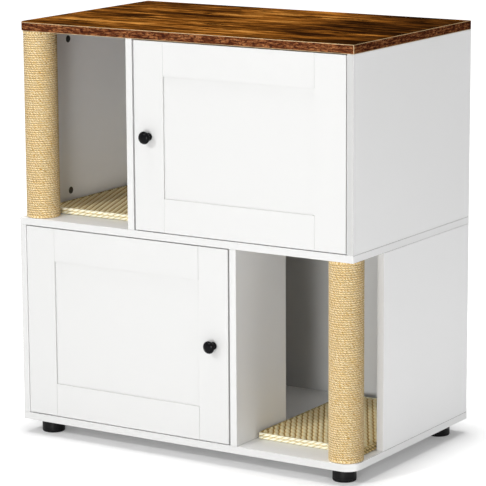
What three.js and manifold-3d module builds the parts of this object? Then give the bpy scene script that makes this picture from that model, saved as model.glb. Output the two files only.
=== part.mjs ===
// Two-tier litter box cabinet: white boards, a brown top, two framed doors on concealed hinges,
// two rope-wound scratching posts at opposite front corners and a ribbed mat in each open bay.
// Millimetres. +X right, -Y front, +Z up. Origin: centre of the bounding box, on the floor.
import * as THREE from 'three';
import { mergeVertices } from 'three/addons/utils/BufferGeometryUtils.js';
import Module from 'manifold-3d';

const solids = await Module();
solids.setup();

// ---------------------------------------------------------------- driving dimensions

// carcass
const cabinetWidth = 800;
const cabinetDepth = 480;
const boardThickness = 15;
const topThickness = 18;
const lowerOpening = 403; // clear height of the lower tier
const upperOpening = 389; // clear height of the upper tier
const cornerRadius = 30; // rounded board corner round each post
const seam = 0.3; // gap left where two pieces touch
const upperBayWidth = 259; // clear width of each open bay
const lowerBayWidth = 253;
const dividerDepth = 190; // the passage to the litter chamber starts behind it
const sideSetback = 121; // a bay's side panel starts this far behind the front

// back panels, held in grooves
const backThickness = 3;
const backInset = 6;
const grooveDepth = 5;

// feet
const footHeight = 30;
const footDiameter = 48;
const footInset = 44; // foot centre from the edges of the bottom board
const footWall = 4;
const footScrewBore = 5;

// doors
const doorThickness = 15;
const stileWidth = 70;
const railWidth = 69;
const doorPanelThickness = 6;
const doorPanelRecess = 4;
const doorGrooveDepth = 8;
const doorHingeGap = 2;
const doorKnobGap = 4;
const doorEndGap = 2; // above and below a door

// knobs
const knobDiameter = 26;
const knobReach = 23;
const knobHeadThickness = 10;
const knobNeckDiameter = 11;
const knobBaseDiameter = 16.5;
const knobBaseThickness = 3.5;
const knobScrewDiameter = 4;
const knobScrewGrip = 12; // length of screw inside the knob
const screwHeadDiameter = 8;
const screwHeadThickness = 2.6;

// concealed hinges
const hingeEndDistance = 75; // hinge centre from a door's top or bottom edge
const pinFromEdge = 16; // pin axis from the door's hinge edge
const pinFromFront = 7.5; // pin axis behind the door's front face
const pinDiameter = 3;
const cupDiameter = 35;
const cupDepth = 11.5;
const cupEdgeDistance = 5; // wood left between the cup's bore and the door's edge
const cupWall = 0.8;
const cupFlangeThickness = 1.2;
const cupFlangeWidth = 24;
const cupFlangeLength = 62;
const armWidth = 15;
const armThickness = 1.6;
const barrelDiameter = 5;
const armReach = 12; // how far the arm swings out past the pin to clear the door's back
const armLength = 46; // arm behind its bend, along the side panel
const doorSweepClearance = 0.5; // between the arm and the turning door
const plateThickness = 3.2;
const plateLength = 40;
const plateHeight = 48;

// scratching posts
const postInset = 35.5; // post axis from both edges of the boards
const postDiameter = 71;
const ropeDiameter = 4.7;
const postTubeWall = 3;
const plugThickness = 14;
const spigotDiameter = 10;
const spigotLength = 9;
const postBoltDiameter = 8;
const postBoltLength = 24; // thread beyond the head
const boltHeadDiameter = 15;
const boltHeadThickness = 4;

// mats
const matSideClearance = 3; // to the bay's sides
const matLength = 363;
const matThickness = 14;
const matFrontSetback = 71;
const matRibPitch = 13; // along the mat's front edge
const matRibHeight = 4.5;
const upperMatRibLean = 18; // degrees by which the ribs turn left on their way to the back
const lowerMatRibLean = 30;

// cam locks of the side panel seen in the open upper bay
const camDiameter = 15;
const camDepth = 12.5;
const camFromEnd = 33; // cam centre from the panel's top or bottom end
const camFromFront = 40; // cam centre from the panel's front edge

// facets
const roundSegments = 32;
const postSegments = 10;
const footSegments = 20;
const knobSegments = 24;
const cupSegments = 28;

// ---------------------------------------------------------------- levels and planes

const left = -cabinetWidth / 2;
const right = cabinetWidth / 2;
const front = -(cabinetDepth - knobReach) / 2; // front plane of boards and doors
const back = front + cabinetDepth;
const bottomBoardZ = footHeight;
const lowerFloor = bottomBoardZ + boardThickness;
const lowerCeiling = lowerFloor + lowerOpening;
const upperFloor = lowerCeiling + boardThickness;
const upperCeiling = upperFloor + upperOpening;
const topZ = upperCeiling + topThickness;
const backPanelRear = back - backInset;
const backPanelFront = backPanelRear - backThickness;
const upperDividerX = left + boardThickness + upperBayWidth; // left face
const lowerDividerX = right - boardThickness - lowerBayWidth - boardThickness;
const doorGaps = doorHingeGap + doorKnobGap;
const upperDoorWidth = cabinetWidth - 3 * boardThickness - upperBayWidth - doorGaps;
const lowerDoorWidth = cabinetWidth - 3 * boardThickness - lowerBayWidth - doorGaps;

// ---------------------------------------------------------------- materials

function finish(color, roughness, metalness = 0) {
  return new THREE.MeshStandardMaterial({ color, roughness, metalness });
}
const whiteBoard = finish('#f4f4f2', 0.45);
const brownBoard = finish('#5a3214', 0.5);
const hardboard = finish('#f0f0ee', 0.6);
const blackPlastic = finish('#141414', 0.45);
const blackKnob = finish('#101012', 0.3, 0.3);
const nickel = finish('#b9bbbd', 0.3, 1);
const zincCam = finish('#4a4a4c', 0.5, 0.6);
const sisal = finish('#d3b67c', 0.95);
const sisalMat = finish('#c9b88c', 0.95);
const cardboard = finish('#a98a5c', 0.9);
const beech = finish('#c79f6b', 0.7);

// ---------------------------------------------------------------- solid helpers

// A closed solid for booleans, from any closed geometry.
function toSolid(geometry) {
  const bare = geometry.index ? geometry.toNonIndexed() : geometry.clone();
  bare.deleteAttribute('normal');
  bare.deleteAttribute('uv');
  const merged = mergeVertices(bare, 1e-4);
  return new solids.Manifold(new solids.Mesh({
    numProp: 3,
    vertProperties: new Float32Array(merged.attributes.position.array),
    triVerts: new Uint32Array(merged.index.array),
  }));
}

// Back from a boolean result to a geometry.
function toGeometry(solid) {
  const mesh = solid.getMesh();
  const geometry = new THREE.BufferGeometry();
  geometry.setAttribute('position', new THREE.BufferAttribute(mesh.vertProperties, 3));
  geometry.setIndex(new THREE.BufferAttribute(mesh.triVerts, 1));
  geometry.computeVertexNormals();
  return geometry;
}

// One geometry from a body, what is joined to it and what is cut from it.
function carve(body, cuts, joins = []) {
  let solid = toSolid(body);
  for (const join of joins) solid = solid.add(toSolid(join));
  for (const cut of cuts) solid = solid.subtract(toSolid(cut));
  return toGeometry(solid);
}

// A box between two corners.
function block(low, high) {
  const size = high.map((value, i) => value - low[i]);
  const box = new THREE.BoxGeometry(...size);
  return box.translate(...low.map((value, i) => value + size[i] / 2));
}

// A round bar or drill along an axis, from one end to the other.
function round(axis, diameter, start, end, segments = roundSegments) {
  const length = Math.max(...start.map((value, i) => Math.abs(end[i] - value)));
  const bar = new THREE.CylinderGeometry(diameter / 2, diameter / 2, length, segments);
  if (axis === 'x') bar.rotateZ(Math.PI / 2);
  if (axis === 'z') bar.rotateX(Math.PI / 2);
  return bar.translate(...start.map((value, i) => (value + end[i]) / 2));
}

// A turned piece: profile points are [radius, height] along +Y.
function turned(profile, segments = roundSegments) {
  return new THREE.LatheGeometry(profile.map(([r, h]) => new THREE.Vector2(r, h)), segments);
}

// A plan outline (x, y) raised from one height to another.
function raised(points, low, high) {
  const shape = new THREE.Shape(points.map(([x, y]) => new THREE.Vector2(x, y)));
  const options = { depth: high - low, bevelEnabled: false };
  return new THREE.ExtrudeGeometry(shape, options).translate(0, 0, low);
}

const cabinet = new THREE.Group();

function add(name, geometry, material, parent = cabinet) {
  const mesh = new THREE.Mesh(geometry, material);
  mesh.name = name;
  parent.add(mesh);
  return mesh;
}

// ---------------------------------------------------------------- boards

// A horizontal board with one front corner rounded: side is -1 left, 1 right, 0 none.
function horizontalBoard(side, low, high) {
  const shape = new THREE.Shape();
  const r = cornerRadius;
  if (side < 0) {
    shape.moveTo(left, front + r);
    shape.absarc(left + r, front + r, r, Math.PI, 1.5 * Math.PI, false);
  } else {
    shape.moveTo(left, front);
  }
  if (side > 0) {
    shape.lineTo(right - r, front);
    shape.absarc(right - r, front + r, r, -Math.PI / 2, 0, false);
  } else {
    shape.lineTo(right, front);
  }
  shape.lineTo(right, back);
  shape.lineTo(left, back);
  const options = { depth: high - low, bevelEnabled: false, curveSegments: 10 };
  return new THREE.ExtrudeGeometry(shape, options).translate(0, 0, low);
}

// Groove for a back panel in a horizontal board, open towards +Z (up) or -Z (down).
function backGroove(faceZ, direction) {
  const ends = [faceZ - direction * grooveDepth, faceZ + direction * boardThickness];
  return block(
    [left + boardThickness - grooveDepth, backPanelFront - seam, Math.min(...ends)],
    [right - boardThickness + grooveDepth, backPanelRear + seam, Math.max(...ends)],
  );
}

// Groove for a back panel in a side panel's inner face; direction points into the cabinet.
function sideGroove(faceX, direction, low, high) {
  const ends = [faceX - direction * grooveDepth, faceX + direction * boardThickness];
  return block(
    [Math.min(...ends), backPanelFront - seam, low - boardThickness],
    [Math.max(...ends), backPanelRear + seam, high + boardThickness],
  );
}

const lowerPost = { x: right - postInset, y: front + postInset, low: lowerFloor, high: lowerCeiling };
const upperPost = { x: left + postInset, y: front + postInset, low: upperFloor, high: upperCeiling };

// Through hole for a post's bolt in the board below it, counterbored so its head lies flush.
function boltHole(post) {
  const start = [post.x, post.y, post.low - 2 * boardThickness];
  const headTop = [post.x, post.y, post.low - boardThickness + boltHeadThickness + 2 * seam];
  return [
    round('z', postBoltDiameter + 2 * seam, start, [post.x, post.y, post.low + boardThickness], 16),
    round('z', boltHeadDiameter + 4 * seam, start, headTop, 24),
  ];
}

// Blind socket for a post's spigot in the board above it.
function spigotSocket(post) {
  const start = [post.x, post.y, post.high - boardThickness];
  const end = [post.x, post.y, post.high + spigotLength + seam];
  return round('z', spigotDiameter + 2 * seam, start, end, 16);
}

const footPlaces = {
  front_left_foot: [left + footInset, front + footInset],
  front_right_foot: [right - footInset, front + footInset],
  rear_left_foot: [left + footInset, back - footInset],
  rear_right_foot: [right - footInset, back - footInset],
};

add('bottom_panel', carve(horizontalBoard(1, bottomBoardZ, lowerFloor), [
  backGroove(lowerFloor, 1),
  ...boltHole(lowerPost),
]), whiteBoard);

add('middle_shelf', carve(horizontalBoard(0, lowerCeiling, upperFloor), [
  backGroove(lowerCeiling, -1),
  backGroove(upperFloor, 1),
  ...boltHole(upperPost),
  spigotSocket(lowerPost),
]), whiteBoard);

add('top_panel', carve(horizontalBoard(-1, upperCeiling, topZ), [
  backGroove(upperCeiling, -1),
  spigotSocket(upperPost),
]), brownBoard);

// A full or set-back side panel; inward is the direction from it into the cabinet.
function sidePanel(inward, setback, low, high, cuts = []) {
  const outer = inward > 0 ? left : right;
  const inner = outer + inward * boardThickness;
  const panel = block(
    [Math.min(outer, inner), front + setback, low + seam],
    [Math.max(outer, inner), back, high - seam],
  );
  return carve(panel, [sideGroove(inner, inward, low, high), ...cuts]);
}

const camPlaces = {
  upper_left_side_top_cam: upperCeiling - camFromEnd,
  upper_left_side_bottom_cam: upperFloor + camFromEnd,
};
const camY = front + sideSetback + camFromFront;
const camFace = left + boardThickness; // the cams sit flush in this face

function camBore(z) {
  const start = [camFace - camDepth - seam, camY, z];
  return round('x', camDiameter + 2 * seam, start, [camFace + boardThickness, camY, z], 20);
}

add('upper_left_side', sidePanel(1, sideSetback, upperFloor, upperCeiling,
  Object.values(camPlaces).map(camBore)), whiteBoard);
add('upper_right_side', sidePanel(-1, 0, upperFloor, upperCeiling), whiteBoard);
add('lower_left_side', sidePanel(1, 0, lowerFloor, lowerCeiling), whiteBoard);
add('lower_right_side', sidePanel(-1, sideSetback, lowerFloor, lowerCeiling), whiteBoard);

function divider(x, low, high) {
  return block([x, front, low + seam], [x + boardThickness, front + dividerDepth, high - seam]);
}
add('upper_divider', divider(upperDividerX, upperFloor, upperCeiling), whiteBoard);
add('lower_divider', divider(lowerDividerX, lowerFloor, lowerCeiling), whiteBoard);

function backPanel(low, high) {
  const tongue = grooveDepth - seam;
  return block(
    [left + boardThickness - tongue, backPanelFront, low - tongue],
    [right - boardThickness + tongue, backPanelRear, high + tongue],
  );
}
add('upper_back_panel', backPanel(upperFloor, upperCeiling), hardboard);
add('lower_back_panel', backPanel(lowerFloor, lowerCeiling), hardboard);

// Cam lock: a slotted drum with a crescent opening that grips its bolt.
function camLock(z) {
  const slotWidth = camDiameter / 9;
  const slotDepth = camDiameter / 7;
  const inner = camFace - camDepth;
  const drum = round('x', camDiameter, [inner, camY, z], [camFace, camY, z], 20);
  const reach = camDiameter / 3;
  const slots = [
    block([camFace - slotDepth, camY - reach, z - slotWidth / 2],
      [camFace + slotDepth, camY + reach, z + slotWidth / 2]),
    block([camFace - slotDepth, camY - slotWidth / 2, z - reach],
      [camFace + slotDepth, camY + slotWidth / 2, z + reach]),
    // the pocket for the bolt's head, open towards the board above or below
    block([inner + camDepth / 5, camY - camDiameter / 5, z - camDiameter],
      [inner + camDepth / 2, camY + camDiameter / 5, z]),
  ];
  return carve(drum, slots);
}
for (const [name, z] of Object.entries(camPlaces)) add(name, camLock(z), zincCam);

// ---------------------------------------------------------------- feet

// A plastic foot: a cup, open below, with a screw boss in the middle.
function foot() {
  const r = footDiameter / 2;
  const lip = footWall / 2;
  const floorZ = footHeight - seam;
  return turned([
    [footScrewBore / 2, floorZ],
    [footScrewBore / 2, footHeight / 3],
    [footScrewBore / 2 + footWall, footHeight / 3],
    [footScrewBore / 2 + footWall, floorZ - footWall],
    [r - footWall, floorZ - footWall],
    [r - footWall, 0],
    [r - lip, 0],
    [r, lip],
    [r, floorZ],
    [footScrewBore / 2, floorZ],
  ], footSegments).rotateX(Math.PI / 2);
}
for (const [name, [x, y]] of Object.entries(footPlaces)) {
  add(name, foot(), blackPlastic).position.set(x, y, 0);
}

// ---------------------------------------------------------------- doors

// Each door is laid out from its hinge edge: x runs from 0 at the hinge edge to doorWidth at the
// knob edge, along +X for the lower door (turn = 1) and along -X for the upper (turn = -1).
function doorParts(prefix, turn, doorWidth, hingeEdgeX, low, high) {
  const doorLow = low + doorEndGap;
  const doorHigh = high - doorEndGap;
  const doorBack = front + doorThickness;
  const panelFront = front + doorPanelRecess;
  const panelBack = panelFront + doorPanelThickness;
  const at = (x) => hingeEdgeX + turn * x;
  const slab = (x0, x1, y0, y1, z0, z1) => block(
    [Math.min(at(x0), at(x1)), y0, z0], [Math.max(at(x0), at(x1)), y1, z1]);

  // stiles: full height, grooved along the inner edge
  const stile = (outerX, innerX, cuts) => {
    const direction = Math.sign(innerX - outerX);
    const groove = slab(innerX - direction * doorGrooveDepth, innerX + direction * stileWidth,
      panelFront - seam, panelBack + seam, doorLow - railWidth, doorHigh + railWidth);
    return carve(slab(outerX, innerX, front, doorBack, doorLow, doorHigh), [groove, ...cuts]);
  };
  const hingeHeights = [doorLow + hingeEndDistance, doorHigh - hingeEndDistance];
  const cupX = cupEdgeDistance + cupDiameter / 2;
  const cupBores = hingeHeights.map((z) => round('y', cupDiameter,
    [at(cupX), doorBack - cupDepth, z], [at(cupX), doorBack + cupDepth, z]));
  const knobX = doorWidth - stileWidth / 2;
  const knobZ = (doorLow + doorHigh) / 2;
  const screwHole = round('y', knobScrewDiameter + 2 * seam,
    [at(knobX), front - doorThickness, knobZ], [at(knobX), doorBack + doorThickness, knobZ], 12);
  add(`${prefix}_door_hinge_stile`, stile(0, stileWidth, cupBores), whiteBoard);
  add(`${prefix}_door_knob_stile`, stile(doorWidth, doorWidth - stileWidth, [screwHole]), whiteBoard);

  // rails: between the stiles, with stub tenons in their grooves and a groove for the panel
  const railStart = stileWidth + seam;
  const railEnd = doorWidth - stileWidth - seam;
  const tenon = doorGrooveDepth - 2 * seam;
  const rail = (outerZ, innerZ) => {
    const direction = Math.sign(innerZ - outerZ);
    const shoulder = innerZ - direction * doorGrooveDepth;
    const span = (a, b) => [Math.min(a, b), Math.max(a, b)];
    const body = slab(railStart, railEnd, front, doorBack, ...span(outerZ, innerZ));
    const tongue = slab(railStart - tenon, railEnd + tenon, panelFront, panelBack,
      ...span(outerZ, shoulder - direction * seam));
    const groove = slab(0, doorWidth, panelFront - seam, panelBack + seam,
      ...span(shoulder, innerZ + direction * railWidth));
    return carve(body, [groove], [tongue]);
  };
  add(`${prefix}_door_bottom_rail`, rail(doorLow, doorLow + railWidth), whiteBoard);
  add(`${prefix}_door_top_rail`, rail(doorHigh, doorHigh - railWidth), whiteBoard);

  // the flat centre panel, held in the grooves of all four
  const tuck = doorGrooveDepth - seam;
  add(`${prefix}_door_centre_panel`, slab(
    stileWidth - tuck, doorWidth - stileWidth + tuck, panelFront, panelBack,
    doorLow + railWidth - tuck, doorHigh - railWidth + tuck), whiteBoard);

  addKnob(prefix, at(knobX), knobZ, doorBack);
  hingeHeights.forEach((z, i) => {
    addHinge(`${prefix}_${i === 0 ? 'bottom' : 'top'}_hinge`, turn, at(pinFromEdge), at(cupX), z, doorBack);
  });
}

// ---------------------------------------------------------------- knobs

// A turned knob: base flange, neck and a mushroom head, bored for its screw from behind.
function knob() {
  const head = knobDiameter / 2;
  const neck = knobNeckDiameter / 2;
  const base = knobBaseDiameter / 2;
  const rim = knobReach - knobHeadThickness * 0.6; // height of the widest ring
  const headBack = knobReach - knobHeadThickness;
  const bore = knobScrewDiameter / 2 + seam;
  const profile = [[0, knobScrewGrip + seam], [bore, knobScrewGrip + seam], [bore, seam], [base, seam]];
  profile.push([base, knobBaseThickness * 0.6], [base - 1, knobBaseThickness]);
  profile.push([neck, knobBaseThickness + 1.5], [neck, headBack - 1.5]);
  // underside of the head, then the dome, as quarter ellipses
  const underSteps = 3;
  for (let i = 0; i <= underSteps; i += 1) {
    const a = (i / underSteps) * Math.PI / 2;
    profile.push([neck + (head - neck) * Math.sin(a), rim - (rim - headBack) * Math.cos(a)]);
  }
  const domeSteps = 5;
  for (let i = 1; i <= domeSteps; i += 1) {
    const a = (i / domeSteps) * Math.PI / 2;
    profile.push([i === domeSteps ? 0 : head * Math.cos(a), rim + (knobReach - rim) * Math.sin(a)]);
  }
  return turned(profile, knobSegments).rotateX(Math.PI);
}

// A pan-head screw, its head at height 0 and its point up the axis.
function panScrew(diameter, headDiameter, headThickness, length, segments) {
  const r = diameter / 2;
  const head = headDiameter / 2;
  return turned([
    [0, -headThickness],
    [head * 0.7, -headThickness],
    [head, -headThickness * 0.4],
    [head, 0],
    [r, 0],
    [r, length - r],
    [r * 0.4, length],
    [0, length],
  ], segments);
}

function addKnob(prefix, x, z, doorBack) {
  add(`${prefix}_door_knob`, knob(), blackKnob).position.set(x, front, z);
  const grip = doorThickness + knobScrewGrip;
  const screw = panScrew(knobScrewDiameter, screwHeadDiameter, screwHeadThickness, grip, 12);
  add(`${prefix}_door_knob_screw`, screw.rotateX(Math.PI), nickel).position.set(x, doorBack + seam, z);
}

// ---------------------------------------------------------------- concealed hinges

// The cup: a shallow drum let into the door, with a screw flange and two lugs that hold the pin.
function hingeCup(pinX, cupX, z, doorBack) {
  const outerDiameter = cupDiameter - 2 * seam;
  const innerDiameter = outerDiameter - 2 * cupWall;
  const cupBottom = doorBack - cupDepth + seam;
  const flangeBack = doorBack + seam + cupFlangeThickness;
  const pinY = front + pinFromFront;
  const drum = round('y', outerDiameter, [cupX, cupBottom, z], [cupX, flangeBack, z], cupSegments);
  const flange = block(
    [cupX - cupFlangeWidth / 2, doorBack + seam, z - cupFlangeLength / 2],
    [cupX + cupFlangeWidth / 2, flangeBack, z + cupFlangeLength / 2]);
  const hollow = round('y', innerDiameter,
    [cupX, cupBottom + cupWall, z], [cupX, flangeBack + cupDepth, z], cupSegments);
  const lugInner = armWidth / 2 + seam;
  const lugOuter = Math.sqrt((innerDiameter / 2) ** 2 - (Math.abs(pinX - cupX) + barrelDiameter / 2) ** 2);
  const lugs = [-1, 1].map((side) => block(
    [pinX - barrelDiameter / 2, cupBottom + cupWall / 2, z + Math.min(side * lugInner, side * (lugOuter + cupWall))],
    [pinX + barrelDiameter / 2, pinY + barrelDiameter / 2, z + Math.max(side * lugInner, side * (lugOuter + cupWall))]));
  const pinBore = round('z', pinDiameter + 2 * seam,
    [pinX, pinY, z - lugOuter + seam], [pinX, pinY, z + lugOuter - seam], 16);
  let solid = toSolid(drum).add(toSolid(flange)).subtract(toSolid(hollow));
  for (const lug of lugs) solid = solid.add(toSolid(lug));
  return { geometry: toGeometry(solid.subtract(toSolid(pinBore))), pinHalf: lugOuter - 2 * seam };
}

// A bent strip: the centre line is offset to both sides by half the strip's thickness.
function stripOutline(path, thickness) {
  const sides = [[], []];
  path.forEach((point, i) => {
    const before = path[Math.max(i - 1, 0)];
    const after = path[Math.min(i + 1, path.length - 1)];
    const into = new THREE.Vector2(point[0] - before[0], point[1] - before[1]).normalize();
    const out = new THREE.Vector2(after[0] - point[0], after[1] - point[1]).normalize();
    const along = into.lengthSq() === 0 ? out : out.lengthSq() === 0 ? into : into.clone().add(out).normalize();
    const reference = out.lengthSq() === 0 ? into : out;
    const mitre = thickness / 2 / Math.max(along.dot(reference), 0.5);
    sides[0].push([point[0] - along.y * mitre, point[1] + along.x * mitre]);
    sides[1].unshift([point[0] + along.y * mitre, point[1] - along.x * mitre]);
  });
  return [...sides[0], ...sides[1]];
}

// The arm: a barrel on the pin and a goose neck that reaches round the door's edge to the plate.
function hingeArm(turn, pinX, z) {
  const pinY = front + pinFromFront;
  const edgeToPin = Math.hypot(pinFromEdge, Math.max(pinFromFront, doorThickness - pinFromFront));
  const passY = edgeToPin + doorSweepClearance + armThickness / 2; // clears the turning door's corner
  const panelFace = -(pinFromEdge + doorHingeGap); // the side panel's inner face, from the pin
  const plateFace = panelFace + seam + plateThickness;
  const lineX = plateFace + seam + armThickness / 2;
  const neck = [
    [barrelDiameter / 4, 0],
    [armReach * 0.75, passY * 0.16],
    [armReach, passY * 0.34],
    [armReach, passY * 0.74],
    [armReach * 0.75, passY * 0.95],
    [armReach * 0.45, passY],
    [lineX + armThickness * 2, passY],
    [lineX + armThickness * 0.6, passY + armThickness * 0.6],
    [lineX, passY + armThickness * 2],
    [lineX, passY + armLength],
  ];
  const outline = stripOutline(neck, armThickness).map(([x, y]) => [pinX + turn * x, pinY + y]);
  const low = z - armWidth / 2;
  const high = z + armWidth / 2;
  const strip = raised(outline, low, high);
  const barrel = round('z', barrelDiameter, [pinX, pinY, low], [pinX, pinY, high], 16);
  const bore = round('z', pinDiameter + 2 * seam, [pinX, pinY, low - armWidth], [pinX, pinY, high + armWidth], 16);
  return carve(barrel, [bore], [strip]);
}

// The mounting plate: screwed to the side panel, with a raised rib that the arm slides over.
function mountingPlate(turn, pinX, z) {
  const pinY = front + pinFromFront;
  const edgeToPin = Math.hypot(pinFromEdge, Math.max(pinFromFront, doorThickness - pinFromFront));
  const start = pinY + edgeToPin + doorSweepClearance + 4 * armThickness;
  const faceX = pinX - turn * (pinFromEdge + doorHingeGap - seam);
  const topX = faceX + turn * plateThickness;
  const half = armWidth / 2;
  const base = block(
    [Math.min(faceX, topX), start, z - half], [Math.max(faceX, topX), start + plateLength, z + half]);
  const wingX = faceX + turn * plateThickness / 2;
  const wing = block(
    [Math.min(faceX, wingX), start + plateLength / 2, z - plateHeight / 2],
    [Math.max(faceX, wingX), start + plateLength / 2 + armWidth, z + plateHeight / 2]);
  return carve(base, [], [wing]);
}

function addHinge(name, turn, pinX, cupX, z, doorBack) {
  const cup = hingeCup(pinX, cupX, z, doorBack);
  const pinY = front + pinFromFront;
  add(`${name}_cup`, cup.geometry, nickel);
  add(`${name}_pin`, round('z', pinDiameter, [pinX, pinY, z - cup.pinHalf], [pinX, pinY, z + cup.pinHalf], 16), nickel);
  add(`${name}_arm`, hingeArm(turn, pinX, z), nickel);
  add(`${name}_plate`, mountingPlate(turn, pinX, z), nickel);
}

const upperHingeEdge = right - boardThickness - doorHingeGap;
const lowerHingeEdge = left + boardThickness + doorHingeGap;
doorParts('upper', -1, upperDoorWidth, upperHingeEdge, upperFloor, upperCeiling);
doorParts('lower', 1, lowerDoorWidth, lowerHingeEdge, lowerFloor, lowerCeiling);

// ---------------------------------------------------------------- scratching posts

const tubeDiameter = postDiameter - 2 * ropeDiameter;

// The rope: one continuous winding, as a sleeve whose surface follows the rope's helix from a
// cut end at the bottom to a cut end at the top. Even rows are the furrows between turns and odd
// rows the crests. Row k at a full turn meets row k + 2 at the start.
function ropeWinding(height) {
  const n = postSegments;
  const start = ropeDiameter * 0.15;
  const turns = Math.floor((height - 2 * start) / ropeDiameter);
  const pitch = (height - 2 * start) / turns;
  const crest = postDiameter / 2;
  const furrow = crest - ropeDiameter * 0.28;
  const bore = tubeDiameter / 2 + seam;
  const lastRow = 2 * (turns - 1);
  const positions = [];
  const point = (radius, column, z) => {
    const angle = Math.PI / 2 + (2 * Math.PI * column) / n; // the cut ends face the back
    positions.push(radius * Math.cos(angle), radius * Math.sin(angle), z);
    return positions.length / 3 - 1;
  };
  const ring = (radius, z) => Array.from({ length: n }, (_, j) => point(radius, j, z));
  const levels = []; // vertex at [level][column], levels beyond the last row only at column 0
  for (let level = 0; level <= lastRow + 2; level += 1) {
    const columns = level <= lastRow ? n : 1;
    levels.push(Array.from({ length: columns }, (_, j) => {
      const z = start + (level / 2) * pitch + (j / n) * pitch;
      return point(level % 2 ? crest : furrow, j, z);
    }));
  }
  const at = (row, column) => (column === n ? levels[row + 2][0] : levels[row][column]);
  const faces = [];
  const quad = (a, b, c, d) => faces.push(a, b, c, a, c, d);
  for (let row = 0; row < lastRow; row += 1) {
    for (let j = 0; j < n; j += 1) quad(at(row, j), at(row, j + 1), at(row + 1, j + 1), at(row + 1, j));
  }
  const outerLow = ring(furrow, 0);
  const outerHigh = ring(furrow, height);
  const innerLow = ring(bore, 0);
  const innerHigh = ring(bore, height);
  for (let j = 0; j < n; j += 1) {
    const k = (j + 1) % n;
    // below the first row; the last column also meets the rope's cut end
    if (j < n - 1) {
      quad(outerLow[j], outerLow[k], at(0, k), at(0, j));
    } else {
      faces.push(outerLow[j], outerLow[0], at(0, 0));
      faces.push(outerLow[j], at(0, 0), at(0, n));
      faces.push(outerLow[j], at(0, n), at(0, j));
    }
    // above the last row; the first column also meets the rope's other cut end
    if (j > 0) {
      quad(at(lastRow, j), at(lastRow, j + 1), outerHigh[k], outerHigh[j]);
    } else {
      faces.push(at(lastRow, 0), at(lastRow, 1), at(lastRow, n));
      faces.push(at(lastRow, n), at(lastRow, 1), outerHigh[1]);
      faces.push(at(lastRow, n), outerHigh[1], outerHigh[0]);
    }
    quad(innerLow[k], innerLow[j], innerHigh[j], innerHigh[k]);
    quad(outerLow[k], outerLow[j], innerLow[j], innerLow[k]);
    quad(outerHigh[j], outerHigh[k], innerHigh[k], innerHigh[j]);
  }
  faces.push(levels[0][0], levels[1][0], levels[2][0]);
  faces.push(levels[lastRow][0], levels[lastRow + 2][0], levels[lastRow + 1][0]);
  const geometry = new THREE.BufferGeometry();
  geometry.setAttribute('position', new THREE.Float32BufferAttribute(positions, 3));
  geometry.setIndex(faces);
  console.log(`rope winding: ${turns} turns, pitch ${pitch.toFixed(2)} mm, ${faces.length / 3} faces`);
  return geometry;
}

// An end plug glued in the tube, with a bolt hole below or a locating spigot above.
function endPlug(withSpigot) {
  const r = tubeDiameter / 2 - postTubeWall - seam;
  const chamfer = plugThickness / 10;
  if (withSpigot) {
    return turned([
      [0, -plugThickness], [r - chamfer, -plugThickness], [r, -plugThickness + chamfer], [r, 0],
      [spigotDiameter / 2, 0], [spigotDiameter / 2, spigotLength - chamfer],
      [spigotDiameter / 2 - chamfer, spigotLength], [0, spigotLength],
    ], postSegments);
  }
  const bore = postBoltDiameter / 2 + seam;
  return turned([
    [bore, 0], [r, 0], [r, plugThickness - chamfer], [r - chamfer, plugThickness],
    [bore, plugThickness], [bore, 0],
  ], postSegments);
}

function addPost(prefix, post) {
  const height = post.high - post.low - 2 * seam;
  const group = new THREE.Group();
  group.position.set(post.x, post.y, post.low + seam);
  cabinet.add(group);
  add(`${prefix}_post_rope`, ropeWinding(height), sisal, group);
  const outer = tubeDiameter / 2;
  const inner = outer - postTubeWall;
  const tube = turned([[inner, 0], [outer, 0], [outer, height], [inner, height], [inner, 0]], postSegments);
  add(`${prefix}_post_tube`, tube.rotateX(Math.PI / 2), cardboard, group);
  add(`${prefix}_post_bottom_plug`, endPlug(false).rotateX(Math.PI / 2), beech, group);
  const topPlug = add(`${prefix}_post_top_plug`, endPlug(true).rotateX(Math.PI / 2), beech, group);
  topPlug.position.z = height;
  const bolt = panScrew(postBoltDiameter, boltHeadDiameter, boltHeadThickness, postBoltLength, 16);
  const boltMesh = add(`${prefix}_post_bolt`, bolt.rotateX(Math.PI / 2), nickel, group);
  boltMesh.position.z = boltHeadThickness - boardThickness; // from the post's foot, a seam above
}
addPost('upper', upperPost);
addPost('lower', lowerPost);

// ---------------------------------------------------------------- mats

// A woven mat: flat below, with rounded ribs that run slantwise from front to back.
function mat(bayWidth, lean) {
  const matWidth = bayWidth - 2 * matSideClearance;
  const turn = THREE.MathUtils.degToRad(lean);
  const pitch = matRibPitch * Math.cos(turn); // square across the ribs
  const span = matWidth * Math.cos(turn) + matLength * Math.sin(turn);
  const run = matWidth * Math.sin(turn) + matLength * Math.cos(turn);
  const ribs = Math.ceil(span / pitch) + 1;
  const base = matThickness - matRibHeight;
  const shape = new THREE.Shape();
  const start = (-ribs * pitch) / 2;
  shape.moveTo(start, 0);
  shape.lineTo(-start, 0);
  for (let i = 0; i < ribs; i += 1) {
    const x = -start - i * pitch;
    shape.lineTo(x, base);
    shape.lineTo(x - pitch * 0.3, matThickness);
    shape.lineTo(x - pitch * 0.7, matThickness);
  }
  shape.lineTo(start, base);
  const options = { depth: run + pitch, bevelEnabled: false };
  const sheet = new THREE.ExtrudeGeometry(shape, options).translate(0, 0, -options.depth / 2);
  sheet.rotateX(Math.PI / 2).rotateZ(turn).translate(matWidth / 2, matLength / 2, 0);
  const cutting = block([0, 0, -1], [matWidth, matLength, matThickness + 1]);
  return toGeometry(toSolid(sheet).intersect(toSolid(cutting)));
}

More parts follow.
